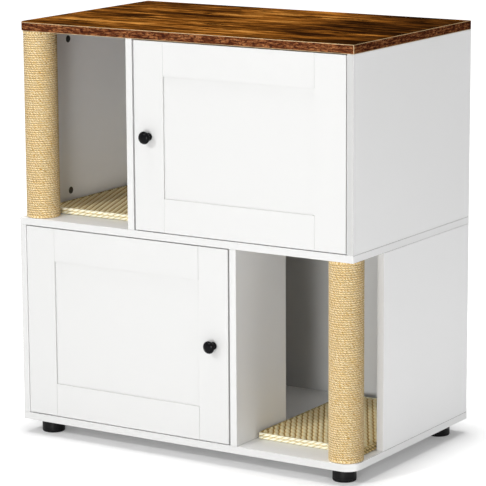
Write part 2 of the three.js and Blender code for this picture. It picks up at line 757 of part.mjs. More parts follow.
const matFront = front + matFrontSetback;
const upperMatX = left + boardThickness + matSideClearance;
const lowerMatX = lowerDividerX + boardThickness + matSideClearance;
const upperMat = add('upper_mat', mat(upperBayWidth, upperMatRibLean), sisalMat);
upperMat.position.set(upperMatX, matFront, upperFloor + seam);
const lowerMat = add('lower_mat', mat(lowerBayWidth, lowerMatRibLean), sisalMat);
lowerMat.position.set(lowerMatX, matFront, lowerFloor + seam);

export default cabinet;
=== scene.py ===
# %% [markdown]
# # A two-tier litter box cabinet, dressed for its photograph
# The CAD model already has the boards, doors, hinges and posts at their real sizes. This lesson
# gives them their finishes, replaces the plain solids of the wound, woven and turned pieces with
# detailed ones, and sets up the camera, the lamps and a white floor. All lengths are metres.

import math

import bmesh
import bpy
from mathutils import Matrix, Vector, noise


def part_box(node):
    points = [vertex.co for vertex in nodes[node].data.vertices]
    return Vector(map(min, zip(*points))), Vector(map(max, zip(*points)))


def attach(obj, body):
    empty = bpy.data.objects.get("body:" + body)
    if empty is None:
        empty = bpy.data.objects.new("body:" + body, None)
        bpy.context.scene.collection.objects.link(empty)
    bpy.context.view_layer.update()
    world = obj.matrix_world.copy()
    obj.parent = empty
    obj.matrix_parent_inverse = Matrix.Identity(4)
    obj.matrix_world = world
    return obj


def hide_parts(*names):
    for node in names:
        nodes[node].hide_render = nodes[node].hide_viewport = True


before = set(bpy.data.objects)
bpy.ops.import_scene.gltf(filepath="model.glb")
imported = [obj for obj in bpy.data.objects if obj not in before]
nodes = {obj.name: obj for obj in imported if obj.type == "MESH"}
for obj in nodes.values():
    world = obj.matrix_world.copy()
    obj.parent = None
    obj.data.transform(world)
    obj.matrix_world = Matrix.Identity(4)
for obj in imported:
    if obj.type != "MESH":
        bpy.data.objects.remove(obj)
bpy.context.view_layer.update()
scene = bpy.context.scene
scene.view_settings.view_transform = "Standard"
print("CAD nodes:", len(nodes))

# %% [markdown]
# ## Camera
# Photographs of furniture are taken from far away with a long lens, so that the boards stay nearly
# parallel. This camera was solved from the board edges of the photograph: it stands to the right,
# looks down by 11 degrees and uses no shift. Its axes are the columns of its rotation.

# %% Camera
camera_data = bpy.data.cameras.new("camera")
camera_data.sensor_width = 36
camera_data.lens = 190.574
camera_data.clip_end = 60
camera = bpy.data.objects.new("camera", camera_data)
scene.collection.objects.link(camera)
right_axis = Vector((0.84494, 0.53483, -0.005769)).normalized()
look = Vector((-0.525397, 0.827921, -0.196227)).normalized()
turn = Matrix((right_axis, right_axis.cross(look), -look)).transposed().to_4x4()
camera.matrix_world = Matrix.Translation((2.81116, -4.42255, 1.45758)) @ turn
scene.camera = camera
print("camera looks along", look)

# %% [markdown]
# ## Lamps
# The shadows in the bays tell where the light is. The low frontal lamp reaches the back panel of
# the lower bay, the small key lamp to the left draws the dividers' shadows on the mats, the
# overhead one lights the top and the floor, and a weak one from the right gives the side its tone.

# %% Lamps
MIDDLE = Vector((0, 0, 0.45))  # what every lamp points at
LAMPS = {  # place, diameter and watts
    "frontal_lamp": ((1.2, -4.1, 0.4), 1.2, 95),
    "key_lamp": ((-0.85, -3.5, 2.4), 0.35, 50),
    "overhead_lamp": ((0.0, 0.0, 3.4), 2.2, 86),
    "side_lamp": ((3.6, -1.2, 1.4), 1.6, 13),
}


def area_lamp(name, place, size, power):
    """A round soft lamp that points at the middle of the cabinet."""
    data = bpy.data.lights.new(name, "AREA")
    data.shape = "DISK"
    data.size = size
    data.energy = power
    lamp = bpy.data.objects.new(name, data)
    scene.collection.objects.link(lamp)
    lamp.location = place
    lamp.rotation_euler = (MIDDLE - Vector(place)).to_track_quat("-Z", "Y").to_euler()


for name, (place, size, power) in LAMPS.items():
    area_lamp(name, place, size, power)
print("lamps:", ", ".join(LAMPS))

# %% [markdown]
# ## Short calls for shader nodes
# Materials are built from nodes in code. This helper wraps one node tree, so that a noise, a ramp
# or a sum is one call. It serves materials and shader node groups alike.

# %% Node helper
class Wiring:
    """A node tree with short calls for the nodes used again and again."""

    def __init__(self, tree):
        self.tree = tree

    def node(self, kind, **settings):
        made = self.tree.nodes.new("ShaderNode" + kind)
        for key, value in settings.items():
            setattr(made, key, value)
        return made

    def wire(self, source, target):
        if isinstance(source, bpy.types.NodeSocket):
            self.tree.links.new(source, target)
        elif isinstance(source, tuple) and len(source) == 3 and len(target.default_value) == 4:
            target.default_value = (*source, 1)
        else:
            target.default_value = source

    def math(self, operation, a, b=0.0):
        made = self.node("Math", operation=operation)
        self.wire(a, made.inputs[0])
        self.wire(b, made.inputs[1])
        return made.outputs[0]

    def span(self, source, low, high, to_low=0.0, to_high=1.0):
        """Maps low..high to to_low..to_high and clamps what is outside."""
        made = self.node("MapRange")
        for value, label in zip(
                (source, low, high, to_low, to_high),
                ("Value", "From Min", "From Max", "To Min", "To Max")):
            self.wire(value, made.inputs[label])
        return made.outputs[0]

    def mix(self, factor, a, b):
        """Blends two colours. Inputs 6 and 7 and output 2 are this node's colour sockets."""
        made = self.node("Mix", data_type="RGBA")
        self.wire(factor, made.inputs[0])
        self.wire(a, made.inputs[6])
        self.wire(b, made.inputs[7])
        return made.outputs[2]

    def ramp(self, source, stops):
        """A colour ramp from (position, colour) stops."""
        made = self.node("ValToRGB")
        elements = made.color_ramp.elements
        while len(elements) < len(stops):
            elements.new(0.5)
        for element, (position, color) in zip(elements, stops):
            element.position = position
            element.color = (*color, 1)
        self.wire(source, made.inputs[0])
        return made.outputs[0]

    def scaled(self, vector, scale):
        made = self.node("VectorMath", operation="MULTIPLY")
        self.wire(vector, made.inputs[0])
        self.wire(scale, made.inputs[1])
        return made.outputs[0]

    def noise(self, vector, scale=1.0, detail=3.0, rough=0.55):
        made = self.node("TexNoise")
        self.wire(vector, made.inputs["Vector"])
        for label, value in zip(("Scale", "Detail", "Roughness"), (scale, detail, rough)):
            self.wire(value, made.inputs[label])
        return made.outputs["Fac"]

    def split(self, vector):
        made = self.node("SeparateXYZ")
        self.wire(vector, made.inputs[0])
        return made.outputs[0], made.outputs[1], made.outputs[2]

    def join(self, x, y, z):
        made = self.node("CombineXYZ")
        for value, socket in zip((x, y, z), made.inputs):
            self.wire(value, socket)
        return made.outputs[0]

    def group(self, tree, **values):
        """Places a node group. Each input is named in lower case with underscores."""
        made = self.tree.nodes.new("ShaderNodeGroup")
        made.node_tree = tree
        for label, value in values.items():
            self.wire(value, made.inputs[label.replace("_", " ").capitalize()])
        return made.outputs


def srgb(code):
    """A web colour as linear red, green and blue."""
    parts = [int(code[i:i + 2], 16) / 255 for i in (1, 3, 5)]
    return tuple(p / 12.92 if p <= 0.04045 else ((p + 0.055) / 1.055) ** 2.4 for p in parts)


# %% [markdown]
# ## World and floor
# The surfaces get a plain soft grey from the world, while the eye, mirrors and glass see it white.
# The floor is lit like everything else and keeps the contact shadow. Away from the cabinet it fades
# into pure white for the camera alone.

# %% White for the eye
WORLD_LIGHT = 0.25
FLOOR_LIT, FLOOR_SEEN = 0.74, 0.97  # the floor's tone for lighting, and for the eye
FADE = 0.28  # metres from the cabinet at which the floor is white
FLOOR_REACH = 12


def seen_directly(wiring):
    """1 for camera, mirror and glass rays, 0 for the rays that light surfaces."""
    rays = wiring.node("LightPath")
    shiny = wiring.math(
        "MAXIMUM", rays.outputs["Is Glossy Ray"], rays.outputs["Is Transmission Ray"])
    return wiring.math("MAXIMUM", rays.outputs["Is Camera Ray"], shiny)


def make_world(strength):
    """A white room that lights surfaces by this strength only."""
    world = bpy.data.worlds.new("studio")
    world.use_nodes = True
    wiring = Wiring(world.node_tree)
    background = world.node_tree.nodes["Background"]
    background.inputs["Color"].default_value = (1, 1, 1, 1)
    level = wiring.span(seen_directly(wiring), 0.0, 1.0, strength, 1.0)
    wiring.wire(level, background.inputs["Strength"])
    scene.world = world


def floor_material(half_width, half_depth):
    """Pale paper that glows more with the distance from the cabinet's outline."""
    material = bpy.data.materials.new("studio_floor")
    material.use_nodes = True
    wiring = Wiring(material.node_tree)
    surface = material.node_tree.nodes["Principled BSDF"]
    surface.inputs["Roughness"].default_value = 0.9
    surface.inputs["Specular IOR Level"].default_value = 0.0
    direct = seen_directly(wiring)
    tone = wiring.span(direct, 0.0, 1.0, FLOOR_LIT, FLOOR_SEEN)
    wiring.wire(wiring.join(tone, tone, tone), surface.inputs["Base Color"])
    place = wiring.node("TexCoord").outputs["Object"]
    x, y, _ = wiring.split(place)
    squares = []
    for coordinate, half in ((x, half_width), (y, half_depth)):
        outside = wiring.math("SUBTRACT", wiring.math("ABSOLUTE", coordinate), half)
        squares.append(wiring.math("POWER", wiring.math("MAXIMUM", outside, 0.0), 2.0))
    away = wiring.math("SQRT", wiring.math("ADD", *squares))
    glow = wiring.math("MULTIPLY", wiring.span(away, 0.0, FADE, 0.10, 0.9), direct)
    surface.inputs["Emission Color"].default_value = (1, 1, 1, 1)
    wiring.wire(glow, surface.inputs["Emission Strength"])
    return material


def make_floor():
    shape = bmesh.new()
    bmesh.ops.create_grid(shape, x_segments=2, y_segments=2, size=FLOOR_REACH)
    mesh = bpy.data.meshes.new("floor")
    shape.to_mesh(mesh)
    shape.free()
    mesh.materials.append(floor_material(half_width=0.40, half_depth=0.25))
    floor = bpy.data.objects.new("floor", mesh)
    scene.collection.objects.link(floor)


make_world(WORLD_LIGHT)
make_floor()
print("world and floor are up")

# %% [markdown]
# ## Effects shared by several materials
# Foil, paint, plastic, metal, wood and fibre are all uneven at some scale. Each effect is one node
# group with named inputs, and every material places it with its own values.

# %% Node groups
FLOAT, COLOR, VECTOR = "NodeSocketFloat", "NodeSocketColor", "NodeSocketVector"


def new_group(name, inputs, outputs):
    """An empty group with its sockets, and the wiring, given inputs and outputs to fill it with."""
    tree = bpy.data.node_groups.new(name, "ShaderNodeTree")
    for label, kind, value in inputs:
        socket = tree.interface.new_socket(label, in_out="INPUT", socket_type=kind)
        if value is not None:
            socket.default_value = value
    for label, kind in outputs:
        tree.interface.new_socket(label, in_out="OUTPUT", socket_type=kind)
    given = tree.nodes.new("NodeGroupInput").outputs
    out = tree.nodes.new("NodeGroupOutput").inputs
    return tree, Wiring(tree), given, out


def make_uneven():
    """Slow cloudiness and fine specks over any smooth surface."""
    tree, w, given, out = new_group(
        "uneven_surface",
        [("Vector", VECTOR, None), ("Tone", COLOR, None), ("Shade", COLOR, None),
         ("Cloud scale", FLOAT, 4.0), ("Speck scale", FLOAT, 900.0), ("Speck amount", FLOAT, 0.1),
         ("Roughness", FLOAT, 0.4), ("Roughness spread", FLOAT, 0.08)],
        [("Color", COLOR), ("Roughness", FLOAT), ("Height", FLOAT)])
    cloud = w.noise(given["Vector"], given["Cloud scale"])
    speck = w.noise(given["Vector"], given["Speck scale"], 2.0)
    amount = w.math("ADD", w.span(cloud, 0.3, 0.7, 0.0, 0.6), w.math(
        "MULTIPLY", w.span(speck, 0.5, 0.75), given["Speck amount"]))
    w.wire(w.mix(amount, given["Tone"], given["Shade"]), out["Color"])
    smear = w.noise(given["Vector"], w.math("MULTIPLY", given["Cloud scale"], 14.0))
    spread = w.math("MULTIPLY", given["Roughness spread"], 2.0)
    offset = w.math("MULTIPLY", w.math("SUBTRACT", smear, 0.5), spread)
    w.wire(w.math("ADD", given["Roughness"], offset), out["Roughness"])
    w.wire(speck, out["Height"])
    return tree


def make_grain():
    """Long streaks: wood grain, brushed metal, wound card or yarn, by the stretch it is given."""
    tree, w, given, out = new_group(
        "streaked_grain",
        [("Vector", VECTOR, None), ("Stretch", VECTOR, (5.0, 90.0, 90.0)), ("Detail", FLOAT, 5.0),
         ("Sharpness", FLOAT, 0.65), ("Wander", FLOAT, 0.0)],
        [("Streaks", FLOAT), ("Fibres", FLOAT)])
    drift = w.noise(w.scaled(given["Vector"], (2.2, 9.0, 9.0)), 1.0)
    moved = w.node("VectorMath", operation="ADD")
    w.wire(given["Vector"], moved.inputs[0])
    shift = w.math("MULTIPLY", w.math("SUBTRACT", drift, 0.5), given["Wander"])
    w.wire(w.join(0.0, shift, 0.0), moved.inputs[1])
    where = w.node("VectorMath", operation="MULTIPLY")
    w.wire(moved.outputs[0], where.inputs[0])
    w.wire(given["Stretch"], where.inputs[1])
    w.wire(w.noise(where.outputs[0], 1.0, given["Detail"], given["Sharpness"]), out["Streaks"])
    w.wire(w.noise(where.outputs[0], 6.0, 2.0, 0.6), out["Fibres"])
    return tree


def make_twist():
    """The slanting strands of a laid rope or cord, from its length and turn coordinates."""
    tree, w, given, out = new_group(
        "twisted_strands",
        [("Along", FLOAT, 0.0), ("Around", FLOAT, 0.0), ("Strands", FLOAT, 3.0),
         ("Lay", FLOAT, 0.018)],
        [("Strand", FLOAT), ("Phase", FLOAT)])
    turns = w.math("DIVIDE", given["Along"], given["Lay"])
    phase = w.math("MULTIPLY", w.math("ADD", given["Around"], turns), given["Strands"])
    w.wire(phase, out["Phase"])
    w.wire(w.math("ABSOLUTE", w.math("SINE", w.math("MULTIPLY", phase, math.pi))), out["Strand"])
    return tree


def make_line():
    """A fine line where a coordinate passes a level, such as the seam between two boards."""
    tree, w, given, out = new_group(
        "fine_line",
        [("Coordinate", FLOAT, 0.0), ("Level", FLOAT, 0.0), ("Half width", FLOAT, 0.0006)],
        [("Line", FLOAT)])
    apart = w.math("ABSOLUTE", w.math("SUBTRACT", given["Coordinate"], given["Level"]))
    core = w.math("MULTIPLY", given["Half width"], 0.6)
    w.wire(w.span(apart, core, given["Half width"], 1.0, 0.0), out["Line"])
    return tree


uneven, grain, twist, fine_line = make_uneven(), make_grain(), make_twist(), make_line()
print("node groups:", ", ".join(tree.name for tree in (uneven, grain, twist, fine_line)))

# %% [markdown]
# Every finish starts from the same calls: a Principled shader whose constants are set on its
# sockets, object coordinates, and a bump for the relief that is too fine to model.

# %% New materials
def start_material(name, roughness, metallic=0.0, specular=0.5):
    """A material, its wiring, its Principled shader and its object coordinates."""
    material = bpy.data.materials.new(name)
    material.use_nodes = True
    surface = material.node_tree.nodes["Principled BSDF"]
    surface.inputs["Roughness"].default_value = roughness
    surface.inputs["Metallic"].default_value = metallic
    surface.inputs["Specular IOR Level"].default_value = specular
    wiring = Wiring(material.node_tree)
    return material, wiring, surface, wiring.node("TexCoord").outputs


def add_bump(wiring, surface, height, strength, distance):
    """Relief that is too fine to model, at most distance high."""
    bump = wiring.node("Bump")
    bump.inputs["Strength"].default_value = strength
    bump.inputs["Distance"].default_value = distance
    wiring.wire(height, bump.inputs["Height"])
    wiring.wire(bump.outputs[0], surface.inputs["Normal"])


# %% [markdown]
# ## White boards
# The boards are chipboard in white foil. The foil is nearly even, so what gives it away is the
# joinery: thin dark lines show where one board stands on another. What faces the front, the edge
# bands and the door fronts, is painted a shade greyer than the faces: painted shade against the
# strong frontal lamp. The lines and the greyer front are drawn from the direction that the surface
# faces and from the boards' own heights in the CAD. The doors' foil also darkens the edges of the
# frame: painted shade that draws the lines round the recessed panels. Some boards take lighter or
# darker copies of the foil: painted light and painted shade for how the lamps reach them.

# %% White foil
SHELF_LOW, SHELF_HIGH = (corner.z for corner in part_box("middle_shelf"))
BASE_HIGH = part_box("bottom_panel")[1].z
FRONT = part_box("bottom_panel")[0].y
FOIL_ROUGHNESS = 0.42
HALF_BAND = 0.0009  # half the thickness of an edge band


def white_foil(name, face="#f7f7f7", shade="#f1f1f0", band="#d4d4d3", band_line=None, cut=None):
    """White foil. What faces the front, and a door frame's edges, take greyer tones: painted shade.
    """
    material, w, surface, place = start_material(name, FOIL_ROUGHNESS, specular=0.4)
    here = place["Object"]
    foil = w.group(
        uneven, vector=here, tone=srgb(face), shade=srgb(shade), cloud_scale=3.0,
        roughness=FOIL_ROUGHNESS)
    facing = w.split(place["Normal"])
    tone = foil["Color"]
    # Painted shade: the edges of a door's frame are darker, which draws the lines round the panel.
    if cut:
        broadside = w.span(w.math("ABSOLUTE", facing[1]), 0.3, 0.7)
        tone = w.mix(broadside, srgb(cut), tone)
    # Painted shade: what faces the front takes the greyer front tone.
    tone = w.mix(w.span(facing[1], -0.45, -0.98), tone, srgb(band))
    _, y, z = w.split(here)
    sideways = w.math("GREATER_THAN", w.math("ABSOLUTE", facing[0]), 0.9)
    seams = w.group(fine_line, coordinate=z, level=SHELF_LOW)["Line"]
    for level in (SHELF_HIGH, BASE_HIGH):
        seams = w.math("MAXIMUM", seams, w.group(fine_line, coordinate=z, level=level)["Line"])
    tone = w.mix(w.math("MULTIPLY", seams, sideways), tone, srgb("#5c5a56"))
    if band_line is not None:
        glue = w.group(
            fine_line, coordinate=y, level=band_line + HALF_BAND, half_width=HALF_BAND)["Line"]
        glue = w.math("MULTIPLY", w.math("MULTIPLY", glue, sideways), 0.30)
        tone = w.mix(glue, tone, srgb("#a9a8a4"))
    w.wire(tone, surface.inputs["Base Color"])
    w.wire(foil["Roughness"], surface.inputs["Roughness"])
    add_bump(w, surface, foil["Height"], 0.05, 0.0002)
    return material


foil = white_foil("white_foil")
# Lighter copy for the upper right side: painted light on its face, painted shade on its greyer
# front.
foil_right = white_foil(
    "white_foil_high_right_painted_light", face="#fcfcfc", shade="#f7f7f6", band="#bdbdbc", band_line=FRONT)
# Darker copy for the doors: painted shade against the frontal lamp.
door_foil_painted_shade = white_foil(
    "white_door_foil_painted_shade", face="#d5d5d5", shade="#d2d2d1", band="#d4d4d3", cut="#cdcdcb")
# Darker copy for the dividers: painted shade.
foil_divider = white_foil("white_foil_dividers_painted_shade", face="#e1e1e1", shade="#dddddc", band="#d6d6d5")
# Lighter copy for the lower right side, which stands back in the bay: painted light.
foil_low_right = white_foil("white_foil_low_right_painted_light", face="#fdfdfd", shade="#f8f8f8", band="#d6d6d5")
hardboard = white_foil("white_hardboard", face="#f5f5f4", shade="#efefec")
foils = (foil, foil_right, door_foil_painted_shade, foil_divider, foil_low_right, hardboard)
print("foils:", ", ".join(made.name for made in foils))

# %% [markdown]
# The boards are right as the CAD has them, so they only take a finish. Foil bends round the edge of
# a real board with a small radius. A bevel modifier gives them that, because an edge with no radius
# at all never catches the light.

# %% Boards take their foil
ARRIS = 0.0004
DOOR_ARRIS = 0.0008


def finish_node(name, material, arris=0.0):
    """Gives a CAD node its finish and, where asked, a soft arris. Its own mesh stays as it is."""
    piece = nodes[name]
    for slot in piece.material_slots:
        slot.material = material
    if arris:
        weld = piece.modifiers.new("join_facets", "WELD")
        weld.merge_threshold = 0.00002
        soft = piece.modifiers.new("arris", "BEVEL")
        soft.width = arris
        soft.segments = 2
        soft.limit_method = "ANGLE"
        soft.angle_limit = math.radians(50)


BOARDS = ("middle_shelf", "bottom_panel", "upper_left_side", "lower_left_side")
for name in BOARDS:
    finish_node(name, foil, ARRIS)
finish_node("upper_right_side", foil_right, ARRIS)
finish_node("lower_right_side", foil_low_right, ARRIS)
for name in ("upper_divider", "lower_divider"):
    finish_node(name, foil_divider, ARRIS)
for name in ("upper_back_panel", "lower_back_panel"):
    finish_node(name, hardboard)
for tier in ("upper", "lower"):
    for part in ("hinge_stile", "knob_stile", "bottom_rail", "top_rail", "centre_panel"):
        finish_node(f"{tier}_door_{part}", door_foil_painted_shade, DOOR_ARRIS)
print("boards and doors have their white")

# %% [markdown]
# ## The brown top
# The decor is a rustic wood print: amber clouds, brown streaks along the board and near-black
# splits. Apart from the print, the colour also darkens towards the right. The edge band is redder
# and flecked. A thin pale line runs along the arris, where the bands' cut ends show. Three looks
# meet on one board, so it is modelled again: a cube, one vertical edge rounded, then a fine bevel
# whose faces take the third material.

# %% Wood print
def wood_print():
    """The printed face: three scales of streaks, clouds, black splits and fine hairs."""
    material, w, surface, place = start_material("rustic_print", 0.55, specular=0.0)
    here = place["Object"]
    broad = w.group(grain, vector=here, stretch=(5.5, 32.0, 32.0), detail=5.0, wander=0.07)
    streaks = w.group(
        grain, vector=here, stretch=(9.0, 120.0, 120.0), detail=6.0, sharpness=0.7, wander=0.06)
    splits = w.group(
        grain, vector=w.scaled(here, (1.0, 1.0, -1.0)), stretch=(10.0, 74.0, 74.0), detail=6.0,
        sharpness=0.72, wander=0.08)
    hair = w.group(grain, vector=here, stretch=(26.0, 480.0, 480.0), detail=3.0)
    x, _, _ = w.split(here)
    clouds = w.noise(w.scaled(here, (4.0, 11.0, 11.0)), 1.0, 3.0)
    value = w.math("MULTIPLY", broad["Streaks"], 0.40)
    value = w.math("ADD", value, w.math("MULTIPLY", streaks["Streaks"], 0.35))
    value = w.math("ADD", value, w.math("MULTIPLY", clouds, 0.25))
    # The colour darkens towards the right, by the x coordinate.
    value = w.math("SUBTRACT", value, w.span(x, -0.35, 0.0, 0.006, -0.012))
    value = w.math("SUBTRACT", value, w.span(x, 0.0, 0.42, 0.0, 0.064))
    tone = w.ramp(value, [
        (0.41, srgb("#180b04")), (0.455, srgb("#3b2009")), (0.495, srgb("#643a12")),
        (0.54, srgb("#935a1f")), (0.60, srgb("#c98c42"))])
    tone = w.mix(w.span(splits["Streaks"], 0.54, 0.59, 0.0, 0.95), tone, srgb("#100602"))
    tone = w.mix(w.span(hair["Streaks"], 0.45, 0.60, 0.0, 0.55), tone, srgb("#2b1505"))
    w.wire(tone, surface.inputs["Base Color"])
    w.wire(w.span(streaks["Streaks"], 0.3, 0.7, 0.62, 0.48), surface.inputs["Roughness"])
    add_bump(w, surface, w.math("ADD", streaks["Streaks"], hair["Streaks"]), 0.10, 0.0003)
    return material


def wood_band():
    """The edge band: redder, with short dark flecks along the edge."""
    material, w, surface, place = start_material("rustic_edge_band", 0.6, specular=0.0)
    here = place["Object"]
    broad = w.group(grain, vector=here, stretch=(36.0, 36.0, 260.0), detail=5.0, sharpness=0.7)
    dark = w.group(
        grain, vector=w.scaled(here, (1.0, 1.0, -1.0)), stretch=(105.0, 105.0, 330.0), detail=4.0,
        sharpness=0.75)
    grit = w.noise(w.scaled(here, (330.0, 330.0, 800.0)), 1.0, 2.0)
    tone = w.ramp(broad["Streaks"], [
        (0.38, srgb("#371c0e")), (0.49, srgb("#6f3d21")), (0.60, srgb("#a66f45"))])
    tone = w.mix(w.span(dark["Streaks"], 0.49, 0.55, 0.0, 0.92), tone, srgb("#2b1410"))
    tone = w.mix(w.span(grit, 0.45, 0.65, 0.0, 0.45), tone, srgb("#55291a"))
    w.wire(tone, surface.inputs["Base Color"])
    w.wire(w.span(grit, 0.3, 0.7, 0.5, 0.62), surface.inputs["Roughness"])
    add_bump(w, surface, broad["Streaks"], 0.12, 0.0003)
    return material


def pale_line():
    """The worn arris: pale where it faces the front, with painted shade on top and to the right."""
    material, w, surface, place = start_material("rustic_arris", 0.7, specular=0.0)
    worn = w.group(uneven, vector=place["Object"], tone=srgb("#e3cba2"), shade=srgb("#b9966b"),
                   cloud_scale=150.0, speck_amount=0.5, roughness=0.6)
    right, _, up = w.split(place["Normal"])
    # Painted shade: darker where the arris faces up, and darker still where it faces up and right.
    tone = w.mix(w.span(up, 0.1, 0.6, 0.0, 0.45), worn["Color"], srgb("#8d7350"))
    up_right_painted_shade = w.math("MULTIPLY", w.span(right, 0.3, 0.7), w.span(up, 0.2, 0.5))
    tone = w.mix(w.math("MULTIPLY", up_right_painted_shade, 0.75), tone, srgb("#6b4a2b"))
    w.wire(tone, surface.inputs["Base Color"])
    w.wire(worn["Roughness"], surface.inputs["Roughness"])
    add_bump(w, surface, worn["Height"], 0.1, 0.0002)
    return material


wood = [wood_print(), wood_band(), pale_line()]
print("wood:", ", ".join(material.name for material in wood))

# %% [markdown]
# ## Helpers for new pieces
# A new piece starts as a bmesh. When it is done it becomes an object at the origin that rides on a
# body of the cabinet and, where it stands for a CAD solid, hides that solid.

# %% From bmesh to piece
def piece_from(shape, name, body, materials, replaced=(), smooth=True):
    """Turns a finished bmesh into an object at the origin that rides on a body."""
    bmesh.ops.recalc_face_normals(shape, faces=shape.faces)
    mesh = bpy.data.meshes.new(name)
    shape.to_mesh(mesh)
    shape.free()
    mesh.polygons.foreach_set("use_smooth", [smooth] * len(mesh.polygons))
    if smooth:
        mesh.set_sharp_from_angle(angle=math.radians(48))
    for material in materials:
        mesh.materials.append(material)
    piece = bpy.data.objects.new(name, mesh)
    scene.collection.objects.link(piece)
    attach(piece, body)
    if replaced:
        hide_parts(*replaced)
    print(f"{name}: {len(mesh.polygons)} faces")


def turned(shape, profile, steps, place):
    """Spins a profile of (radius, height) points round the local Z axis, then puts it in place."""
    before = set(shape.verts)
    points = [shape.verts.new((radius, 0, height)) for radius, height in profile]
    edges = [shape.edges.new(pair) for pair in zip(points, points[1:])]
    if profile[0][0] > 0:
        edges.append(shape.edges.new((points[-1], points[0])))
    bmesh.ops.spin(
        shape, geom=points + edges, cent=(0, 0, 0), axis=(0, 0, 1), angle=2 * math.pi, steps=steps,
        use_merge=True)
    made = [vert for vert in shape.verts if vert not in before]
    bmesh.ops.remove_doubles(shape, verts=made, dist=1e-6)
    made = [vert for vert in shape.verts if vert not in before]
    bmesh.ops.transform(shape, matrix=place, verts=made)


# %% [markdown]
# The real board has one rounded corner, over the post, and eased edges. Both are bevels on a cube,
# and the second one gives the faces for the pale line their own material as it cuts them.

# %% The top
TOP_CORNER = 0.030
TOP_ARRIS = 0.0009


def make_top():
    low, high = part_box("top_panel")
    shape = bmesh.new()
    bmesh.ops.create_cube(shape, size=1.0)
    bmesh.ops.scale(shape, vec=high - low, verts=shape.verts)
    bmesh.ops.translate(shape, vec=(low + high) / 2, verts=shape.verts)
    corner = [
        edge for edge in shape.edges
        if all(abs(v.co.x - low.x) < 1e-4 and abs(v.co.y - low.y) < 1e-4 for v in edge.verts)]
    bmesh.ops.bevel(
        shape, geom=corner, offset=TOP_CORNER, offset_type="OFFSET", affect="EDGES", segments=18,
        profile=0.5, material=-1)
    for face in shape.faces:
        face.material_index = 0 if abs(face.normal.z) > 0.5 else 1
    sharp = [edge for edge in shape.edges if edge.calc_face_angle() > math.radians(40)]
    bmesh.ops.bevel(
        shape, geom=sharp, offset=TOP_ARRIS, offset_type="OFFSET", affect="EDGES", segments=2,
        profile=0.5, material=2)
    piece_from(shape, "rustic_top", "cabinet", wood, ["top_panel"], smooth=False)


make_top()

# %% [markdown]
# ## Sisal posts
# Each post is one rope wound from the bottom to the top. A circle that is spun with a rise for each
# step sweeps one turn of it, and that turn is repeated up the post. The rope then gets two
# coordinates, along it and around it, so that its three strands can slant and its yarn can run with
# them.

# %% Fibre materials
def read_rope(w):
    """The rope's own coordinates: metres along it, and turns around it."""
    along, around, _ = w.split(w.node("UVMap", uv_map="rope").outputs[0])
    return along, around


def sisal_fibre():
    """Three slanting strands of straw-coloured yarn, with painted shade between strands and turns.
    """
    material, w, surface, place = start_material("sisal_rope", 0.95, specular=0.0)
    along, around = read_rope(w)
    sway = w.noise(place["Object"], 90.0, 2.0)
    swayed = w.math("ADD", along, w.math("MULTIPLY", sway, 0.016))
    laid = w.group(twist, along=swayed, around=around, strands=3.0, lay=0.0181)
    yarn = w.join(w.math("MULTIPLY", along, 120.0), w.math("MULTIPLY", laid["Phase"], 6.0), 0.0)
    fibres = w.noise(yarn, 1.0, 4.0, 0.7)
    here = place["Object"]
    patches = w.noise(here, 38.0)
    specks = w.noise(here, 380.0, 3.0, 0.7)
    # Painted shade: the ramp darkens the gaps between the strands.
    value = w.math("ADD", w.math("MULTIPLY", laid["Strand"], 0.5), w.math("MULTIPLY", fibres, 0.5))
    tone = w.ramp(value, [
        (0.20, srgb("#8a632b")), (0.40, srgb("#cda35c")), (0.58, srgb("#ecd297")),
        (0.80, srgb("#fcedc9"))])
    tone = w.mix(w.span(patches, 0.35, 0.7, 0.0, 0.3), tone, srgb("#e0b76c"))
    tone = w.mix(w.span(specks, 0.57, 0.68, 0.0, 0.7), tone, srgb("#fff8dd"))
    tone = w.mix(w.span(specks, 0.43, 0.33, 0.0, 0.6), tone, srgb("#805722"))
    # Painted shade: the rope darkens where it turns away from the outside, in the grooves between
    # turns.
    outward_for_groove_shade = w.math("COSINE", w.math("MULTIPLY", around, 2 * math.pi))
    tone = w.mix(w.span(outward_for_groove_shade, 0.75, 0.15, 0.0, 0.55), tone, srgb("#6d4a1c"))
    w.wire(tone, surface.inputs["Base Color"])
    w.wire(w.span(fibres, 0.3, 0.7, 0.9, 0.98), surface.inputs["Roughness"])
    surface.inputs["Sheen Weight"].default_value = 0.15
    relief = w.math("ADD", laid["Strand"], w.math("MULTIPLY", fibres, 0.6))
    add_bump(w, surface, relief, 0.9, 0.0009)
    return material


sisal = sisal_fibre()
print("fibre:", sisal.name)

# %% [markdown]
# Object coordinates can't tell how far along a helix a point lies, so each corner of each face gets
# its two rope coordinates as a map. A face takes its turn from its own middle, so that no face is
# stretched over the place where a new turn starts.

# %% Rope coordinates
def nearest_turn(value, reference):
    """The value moved by whole turns until it is close to the reference."""
    return value - round(value - reference)


def lay_rope_map(shape, centre, path_radius, start_height, pitch):
    """Writes each face's place along and around the helix into the map called rope."""
    layer = shape.loops.layers.uv.new("rope")

    def around_at(offset, turns):
        radial = math.hypot(offset.x, offset.y) - path_radius
        return math.atan2(offset.z - start_height - turns * pitch, radial) / (2 * math.pi)

    for face in shape.faces:
        offset = face.calc_center_median() - centre
        angle = math.atan2(offset.y, offset.x) / (2 * math.pi)
        turns = angle + round((offset.z - start_height) / pitch - angle)
        around = around_at(offset, turns)
        for loop in face.loops:
            offset = loop.vert.co - centre
            here = nearest_turn(math.atan2(offset.y, offset.x) / (2 * math.pi), turns)
            length = here * 2 * math.pi * path_radius
            loop[layer].uv = (length, nearest_turn(around_at(offset, here), around))


# %% [markdown]
# A striped cylinder would do from far away, but its outline would be smooth. Here each turn is
# real. The rope is tucked in under the boards, so a level ring ends the winding at both ends.

# %% The two windings
ROPE = 0.0047  # the rope's diameter
ROPE_SIDES = 10
PER_TURN = 60
FUZZ = 0.00035  # how far the fibres let the surface sink


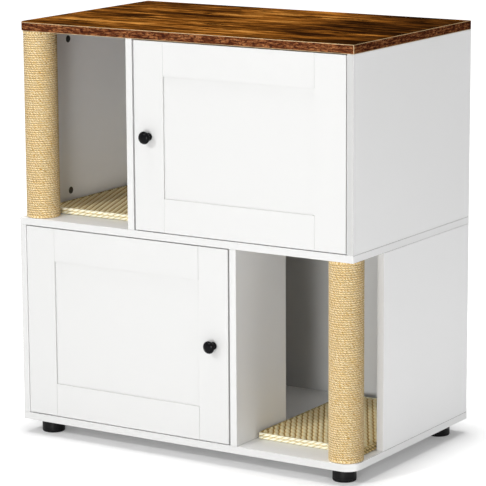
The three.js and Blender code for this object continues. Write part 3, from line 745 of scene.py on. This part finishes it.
def wind_post(tier):
    """One rope from the bottom to the top of a post, in the place of the CAD's winding."""
    low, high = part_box(f"{tier}_post_rope")
    centre = (low + high) / 2
    centre.z = low.z
    path_radius = (high.y - low.y) / 2 - ROPE / 2 - 0.0001
    turns = round((high.z - low.z - ROPE) / ROPE)
    pitch = (high.z - low.z - ROPE) / turns
    section = {"cap_ends": False, "segments": ROPE_SIDES, "radius": ROPE / 2 - 0.00005}
    shape = bmesh.new()
    start = Matrix.Translation(centre + Vector((0, path_radius, ROPE / 2)))
    stand = start @ Matrix.Rotation(math.pi / 2, 4, "Y")
    bmesh.ops.create_circle(shape, **section, matrix=stand)
    bmesh.ops.spin(
        shape, geom=shape.verts[:] + shape.edges[:], cent=centre, axis=(0, 0, 1),
        dvec=(0, 0, pitch / PER_TURN), angle=2 * math.pi, steps=PER_TURN)
    one_turn = shape.verts[:] + shape.edges[:] + shape.faces[:]
    for step in range(1, turns):
        copy = bmesh.ops.duplicate(shape, geom=one_turn)["geom"]
        rise = [item for item in copy if isinstance(item, bmesh.types.BMVert)]
        bmesh.ops.translate(shape, vec=(0, 0, pitch * step), verts=rise)
    bmesh.ops.remove_doubles(shape, verts=shape.verts, dist=1e-5)
    ends = [edge for edge in shape.edges if edge.is_boundary]
    bmesh.ops.holes_fill(shape, edges=ends, sides=12)
    for level in (ROPE / 2, high.z - low.z - ROPE / 2):
        lift = Matrix.Translation((0, 0, level - ROPE / 2))
        end = bmesh.ops.create_circle(shape, **section, matrix=lift @ stand)["verts"]
        ring = end + list({edge for vert in end for edge in vert.link_edges})
        bmesh.ops.spin(
            shape, geom=ring, cent=centre, axis=(0, 0, 1), angle=2 * math.pi, steps=PER_TURN,
            use_merge=True)
    lay_rope_map(shape, centre, path_radius, ROPE / 2 - pitch / 4, pitch)
    for vert in shape.verts:
        out = Vector((vert.co.x - centre.x, vert.co.y - centre.y, 0)).normalized()
        vert.co -= out * FUZZ * (0.5 + 0.5 * noise.noise(vert.co * 160))
    piece_from(shape, f"{tier}_sisal_rope", "cabinet", [sisal], [f"{tier}_post_rope"])
    print(f"  {turns} turns, pitch {pitch * 1000:.2f} mm")


for tier in ("upper", "lower"):
    wind_post(tier)

# %% [markdown]
# ## Woven mats
# A mat is a sheet of thick twisted cords that run slantwise from front to back. The cords are a
# relief: a fine grid is raised by the distance to the nearest cord, with a swelling for each twist.
# Two plaited rolls bind the edge all round, one above the other.

# %% Mat materials
def woven_cord():
    """Straw-coloured cord, pale on its crests, with painted shade in the gaps between."""
    material, w, surface, place = start_material("woven_cord", 0.95, specular=0.0)
    level = w.node("Attribute", attribute_name="relief").outputs["Fac"]
    here = place["Object"]
    yarn = w.noise(here, 520.0, 3.0, 0.7)
    patches = w.noise(here, 25.0)
    # Painted shade: the low relief of the gaps takes the brown end of the ramp.
    value = w.math("ADD", w.math("MULTIPLY", level, 0.75), w.math("MULTIPLY", yarn, 0.32))
    tone = w.ramp(value, [
        (0.15, srgb("#543b15")), (0.33, srgb("#b48a3e")), (0.46, srgb("#f3d48e")),
        (0.64, srgb("#fff1c2"))])
    tone = w.mix(w.span(patches, 0.35, 0.7, 0.0, 0.2), tone, srgb("#e6c989"))
    w.wire(tone, surface.inputs["Base Color"])
    w.wire(w.span(yarn, 0.3, 0.7, 0.9, 0.98), surface.inputs["Roughness"])
    surface.inputs["Sheen Weight"].default_value = 0.15
    add_bump(w, surface, yarn, 0.7, 0.0007)
    return material


def plaited_binding(name, stops, lay):
    """Two strands laid round each other, as far apart along the roll as lay, with painted shade
    between.
    """
    material, w, surface, place = start_material(name, 0.95, specular=0.0)
    along, around = read_rope(w)
    laid = w.group(twist, along=along, around=around, strands=2.0, lay=lay)
    yarn = w.noise(place["Object"], 620.0, 3.0, 0.7)
    # Painted shade: the ramp darkens the gaps between the two strands.
    value = w.math("ADD", w.math("MULTIPLY", laid["Strand"], 0.6), w.math("MULTIPLY", yarn, 0.4))
    tone = w.ramp(value, [(position, srgb(code)) for position, code in stops])
    w.wire(tone, surface.inputs["Base Color"])
    w.wire(w.span(yarn, 0.3, 0.7, 0.9, 0.98), surface.inputs["Roughness"])
    surface.inputs["Sheen Weight"].default_value = 0.15
    add_bump(w, surface, w.math("ADD", laid["Strand"], yarn), 0.8, 0.0008)
    return material


cords = woven_cord()
cream = plaited_binding(
    "cream_binding",
    [(0.15, "#a8935a"), (0.32, "#e6dbae"), (0.6, "#f8f2d6"), (0.9, "#fffbea")], 0.030)
straw = plaited_binding(
    "straw_selvedge",
    [(0.2, "#7d6533"), (0.45, "#a98f55"), (0.7, "#cbb37a"), (0.9, "#e3d3a0")], 0.022)
print("mat materials:", cords.name, cream.name, straw.name)

# %% [markdown]
# Cords modelled as tubes would spend most of their faces where they can't be seen. A raised grid
# shows the same crests and valleys, and hands its relief to the material as an attribute. The
# material paints shade into the valleys from it.

# %% The relief
RIB_PITCH = 0.013  # from cord to cord, along the front edge
MAT_LEAN = {"upper": 21, "lower": 30}  # degrees
TWIST = {"upper": 0.011, "lower": 0.026}  # the length of one swelling of a cord
ROLL = 0.0034  # the radius of a roll of the binding


def weave_field(tier):
    """The ribbed middle of a mat, with a skirt down to the board."""
    low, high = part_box(f"{tier}_mat")
    lean = math.radians(MAT_LEAN[tier])
    pitch = RIB_PITCH * math.cos(lean)
    size_x, size_y = high.x - low.x - 2.2 * ROLL, high.y - low.y - 2.2 * ROLL
    middle = (low + high) / 2
    base, crest = high.z - 0.0040, high.z - 0.0002
    shape = bmesh.new()
    relief = shape.verts.layers.float.new("relief")
    bmesh.ops.create_grid(
        shape, x_segments=int(size_x / 0.0011), y_segments=int(size_y / 0.0015), size=0.5,
        matrix=Matrix.Translation((middle.x, middle.y, base))
        @ Matrix.Diagonal((size_x, size_y, 1, 1)))
    for vert in shape.verts:
        x, y = vert.co.x - low.x, vert.co.y - low.y
        across = (x * math.cos(lean) + y * math.sin(lean)) / pitch
        along = (y * math.cos(lean) - x * math.sin(lean)) / TWIST[tier]
        part = across - math.floor(across)
        arch = math.sin(math.pi * part) ** 0.6
        swell = 0.5 + 0.5 * math.cos(2 * math.pi * (along + 0.8 * part))
        vert.co.z = base + (crest - base) * arch * (0.70 + 0.30 * swell)
        vert[relief] = arch * (0.50 + 0.50 * swell)
    rim = [edge for edge in shape.edges if edge.is_boundary]
    skirt = bmesh.ops.extrude_edge_only(shape, edges=rim)["geom"]
    for vert in (item for item in skirt if isinstance(item, bmesh.types.BMVert)):
        vert.co.z = low.z + 0.0005
        vert[relief] = 0.1
    bmesh.ops.contextual_create(shape, geom=[edge for edge in shape.edges if edge.is_boundary])
    piece_from(shape, f"{tier}_woven_mat", "cabinet", [cords], [f"{tier}_mat"])


# %% [markdown]
# The real edge is bound with two plaited rolls. Each is one closed tube, because a circle that is
# drawn along the sides and spun round the corners comes back to where it started.

# %% The binding
BEND = 0.007  # the radius of the corners


def sweep_side(shape, ring, step, steps):
    """Draws a ring of edges straight on, and gives back the ring at the far end."""
    drawn = bmesh.ops.spin(
        shape, geom=ring, cent=(0, 0, 0), axis=(0, 0, 1), dvec=step, angle=0, steps=steps)
    return drawn["geom_last"]


def bind_mat(tier):
    """Two rolls round the mat: a circle drawn along each side and spun round each corner."""
    low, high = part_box(f"{tier}_mat")
    shape = bmesh.new()
    inner_x, inner_y = (side - 2 * ROLL - 2 * BEND for side in (high - low).xy)
    for height in (low.z + ROLL + 0.0001, high.z - ROLL - 0.0001):
        start = Vector((low.x + ROLL + BEND, low.y + ROLL, height))
        verts = bmesh.ops.create_circle(
            shape, cap_ends=False, segments=12, radius=ROLL,
            matrix=Matrix.Translation(start) @ Matrix.Rotation(math.pi / 2, 4, "Y"))["verts"]
        ring = verts + list({edge for vert in verts for edge in vert.link_edges})
        heading = Vector((1, 0, 0))
        for run in (inner_x, inner_y, inner_x, inner_y):
            steps = int(run / 0.003)
            ring = sweep_side(shape, ring, heading * run / steps, steps)
            corners = [item.co for item in ring if isinstance(item, bmesh.types.BMVert)]
            left = Vector((-heading.y, heading.x, 0))
            middle = sum(corners, Vector()) / len(corners) + left * BEND
            bent = bmesh.ops.spin(
                shape, geom=ring, cent=middle, axis=(0, 0, 1), angle=math.pi / 2, steps=5)
            ring = bent["geom_last"]
            heading = left
    bmesh.ops.remove_doubles(shape, verts=shape.verts, dist=1e-5)
    map_binding(shape, low, high)
    piece_from(shape, f"{tier}_mat_binding", "cabinet", [cream, straw])


def map_binding(shape, low, high):
    """Maps the rolls, swells their strands and tells front and back from the sides."""
    layer = shape.loops.layers.uv.new("rope")
    middle = (low + high) / 2

    def core(value, axis):
        return low[axis] + ROLL if value < middle[axis] else high[axis] - ROLL

    for face in shape.faces:
        centre = face.calc_center_median()
        beside = min(centre.x - low.x, high.x - centre.x) < min(centre.y - low.y, high.y - centre.y)
        face.material_index = int(beside)
        across, run = (0, 1) if beside else (1, 0)
        reference = None
        for loop in face.loops:
            co = loop.vert.co
            out = co[across] - core(centre[across], across)
            around = math.atan2(co.z - core(centre.z, 2), out) / (2 * math.pi)
            reference = around if reference is None else reference
            loop[layer].uv = (co[run], nearest_turn(around, reference))
    for vert in shape.verts:
        roll_z = core(vert.co.z, 2)
        pull = 0.5 + 0.5 * math.sin((vert.co.x + vert.co.y) * 2 * math.pi / 0.015 + roll_z * 300)
        vert.co.z += (roll_z - vert.co.z) * 0.14 * pull


for tier in ("upper", "lower"):
    weave_field(tier)
    bind_mat(tier)

# %% [markdown]
# ## Knobs, feet and screws
# These are turned or moulded, so each is a profile spun round its axis. Black enamel shows its form
# by small highlights, so it is glossy but with a weak reflection of the white room.

# %% Plastics and metals
def small_part(name, tone, shade, roughness, metallic=0.0, specular=0.5, speck=1200.0, bump=0.08):
    """Moulded plastic, enamel or cast metal with a faint texture."""
    material, w, surface, place = start_material(name, roughness, metallic, specular)
    made = w.group(
        uneven, vector=place["Object"], tone=srgb(tone), shade=srgb(shade), cloud_scale=80.0,
        speck_scale=speck, speck_amount=0.4, roughness=roughness, roughness_spread=0.06)
    w.wire(made["Color"], surface.inputs["Base Color"])
    w.wire(made["Roughness"], surface.inputs["Roughness"])
    add_bump(w, surface, made["Height"], bump, 0.0001)
    return material


def grained(name, tones, stretch, roughness, metallic=0.0):
    """Brushed metal, wound card or bare wood: two tones in streaks."""
    material, w, surface, place = start_material(name, roughness, metallic)
    lines = w.group(grain, vector=place["Object"], stretch=stretch, detail=4.0)
    tone = w.mix(w.span(lines["Streaks"], 0.3, 0.7), srgb(tones[0]), srgb(tones[1]))
    w.wire(tone, surface.inputs["Base Color"])
    up_right_painted_shade = w.span(lines["Fibres"], 0.3, 0.7, roughness - 0.05, roughness + 0.07)
    w.wire(up_right_painted_shade, surface.inputs["Roughness"])
    add_bump(w, surface, lines["Streaks"], 0.08, 0.0002)
    return material


nickel = grained("brushed_nickel", ("#dcdcd9", "#b9b9b6"), (40.0, 900.0, 900.0), 0.28, 1.0)
card = grained("wound_card", ("#8e734c", "#b89a6c"), (60.0, 60.0, 400.0), 0.9)
beech = grained("bare_beech", ("#b78b57", "#dcb684"), (300.0, 40.0, 300.0), 0.7)
zinc = small_part("dark_zinc", "#6d6d69", "#454542", 0.5, 0.9)
black_plastic = small_part("black_plastic", "#0d0d0e", "#161617", 0.45, specular=0.12)
enamel = small_part("black_enamel", "#070708", "#0d0d10", 0.13, specular=0.07, bump=0.03)
for tier in ("upper", "lower"):
    for name, material in (
            ("door_knob_screw", nickel), ("post_bolt", nickel), ("post_tube", card),
            ("post_bottom_plug", beech), ("post_top_plug", beech)):
        finish_node(f"{tier}_{name}", material)
    for end in ("top", "bottom"):
        for part in ("cup", "pin", "arm", "plate"):
            finish_node(f"{tier}_{end}_hinge_{part}", nickel)
for end in ("top", "bottom"):
    finish_node(f"upper_left_side_{end}_cam", zinc)
print("metal, plastic, card and beech are made")

# %% [markdown]
# The knob is a turned mushroom: a foot on the door, a waist and a domed head. Both ends of its
# profile lie on the axis, so that the poles close.

# %% Knobs
KNOB = [  # radius and distance from the door
    (0, 0), (0.0080, 0), (0.0082, 0.0004), (0.0082, 0.0018), (0.0079, 0.0026), (0.0070, 0.0034),
    (0.0060, 0.0046), (0.0055, 0.0062), (0.0054, 0.0080), (0.0058, 0.0098), (0.0070, 0.0114),
    (0.0094, 0.0130), (0.0115, 0.0143), (0.0126, 0.0157), (0.0130, 0.0170), (0.0128, 0.0183),
    (0.0120, 0.0197), (0.0105, 0.0210), (0.0082, 0.0221), (0.0052, 0.0227), (0, 0.0230)]


def make_knob(tier):
    low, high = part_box(f"{tier}_door_knob")
    reach = (high.y - low.y) / KNOB[-1][1]
    stand = Matrix.Translation(((low.x + high.x) / 2, high.y, (low.z + high.z) / 2))
    shape = bmesh.new()
    profile = [(radius, height * reach) for radius, height in KNOB]
    turned(shape, profile, 56, stand @ Matrix.Rotation(math.pi / 2, 4, "X"))
    piece_from(
        shape, f"{tier}_turned_knob", f"{tier}_door", [enamel], [f"{tier}_door_knob"])


for tier in ("upper", "lower"):
    make_knob(tier)

# %% [markdown]
# A foot is moulded hollow from below: a wall that stands on the floor, a boss for the screw and a
# plate over both. Its profile is closed: from the screw's hole round the hollow, and up outside.

# %% Feet
FEET = ("front_left_foot", "front_right_foot", "rear_left_foot", "rear_right_foot")


def make_foot(name):
    low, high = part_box(name)
    r, h = (high.y - low.y) / 2, high.z - low.z
    profile = [
        (0.0030, h), (0.0030, 0.0100), (0.0075, 0.0100), (0.0075, h - 0.004),
        (r - 0.0045, h - 0.004), (r - 0.0045, 0.0), (r - 0.0026, 0.0), (r - 0.0012, 0.0004),
        (r - 0.0004, 0.0013),
        (r, 0.0026), (r, 0.0050), (r - 0.0005, 0.0054), (r - 0.0005, 0.0060), (r, 0.0064),
        (r, h - 0.0012), (r - 0.0004, h - 0.0003), (r - 0.0010, h)]
    shape = bmesh.new()
    middle = (low + high) / 2
    turned(shape, profile, 64, Matrix.Translation((middle.x, middle.y, low.z)))
    piece_from(shape, f"{name}_moulded", "cabinet", [black_plastic], [name])


for name in FEET:
    make_foot(name)

# %% [markdown]
# ## Screws
# Screws hold the hinge cups, the mounting plates and the feet. A pan head is a disc that is drawn
# out and inset. The last inset becomes the cross recess: its points between the four arms are drawn
# in, then it is pushed down.

# %% Screws
HINGE_SCREW = (0.0038, 0.0016)  # radius and height of the head
FOOT_SCREW = (0.0052, 0.0026)


def screw_head(shape, place, direction, radius, height):
    """A pan head with a cross recess. The place is its underside, the direction where it looks."""
    before = set(shape.verts)
    rim = bmesh.ops.create_circle(shape, cap_ends=True, segments=16, radius=radius)["verts"]
    lifted = bmesh.ops.extrude_face_region(shape, geom=[rim[0].link_faces[0]])["geom"]
    disc = [item for item in lifted if isinstance(item, bmesh.types.BMFace)]
    bmesh.ops.translate(shape, vec=(0, 0, height * 0.4), verts=disc[0].verts[:])
    for inset, rise in ((0.14, 0.4), (0.26, 0.2)):
        bmesh.ops.inset_individual(shape, faces=disc, thickness=radius * inset, depth=height * rise)
    for vert in disc[0].verts:
        corner = math.atan2(vert.co.y, vert.co.x) % (math.pi / 2)
        if 0.2 < corner < math.pi / 2 - 0.2:
            vert.co.x *= 0.45
            vert.co.y *= 0.45
    bmesh.ops.inset_individual(shape, faces=disc, thickness=radius * 0.02, depth=-height * 0.6)
    made = [vert for vert in shape.verts if vert not in before]
    turned_to = Vector(direction).to_track_quat("Z", "Y").to_matrix().to_4x4()
    bmesh.ops.transform(shape, matrix=Matrix.Translation(place) @ turned_to, verts=made)


def screws(name, body, heads):
    shape = bmesh.new()
    for place, direction, radius, height in heads:
        screw_head(shape, Vector(place), direction, radius, height)
    piece_from(shape, name, body, [nickel], smooth=False)


def hinge_screws(tier):
    cups, plates = [], []
    inward = -1 if tier == "upper" else 1
    for end in ("top", "bottom"):
        low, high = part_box(f"{tier}_{end}_hinge_cup")
        for z in (low.z + 0.006, high.z - 0.006):
            cups.append((((low.x + high.x) / 2, high.y, z), (0, 1, 0), *HINGE_SCREW))
        low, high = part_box(f"{tier}_{end}_hinge_plate")
        wing = (high.x if inward < 0 else low.x) + inward * 0.0016
        for z in (low.z + 0.007, high.z - 0.007):
            plates.append(((wing, low.y + 0.0275, z), (inward, 0, 0), *HINGE_SCREW))
    screws(f"{tier}_hinge_cup_screws", f"{tier}_door", cups)
    screws(f"{tier}_hinge_plate_screws", "cabinet", plates)


for tier in ("upper", "lower"):
    hinge_screws(tier)
foot_heads = []
for name in FEET:
    low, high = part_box(name)
    middle = (low + high) / 2
    foot_heads.append(((middle.x, middle.y, 0.0097), (0, 0, -1), *FOOT_SCREW))
screws("foot_screws", "cabinet", foot_heads)
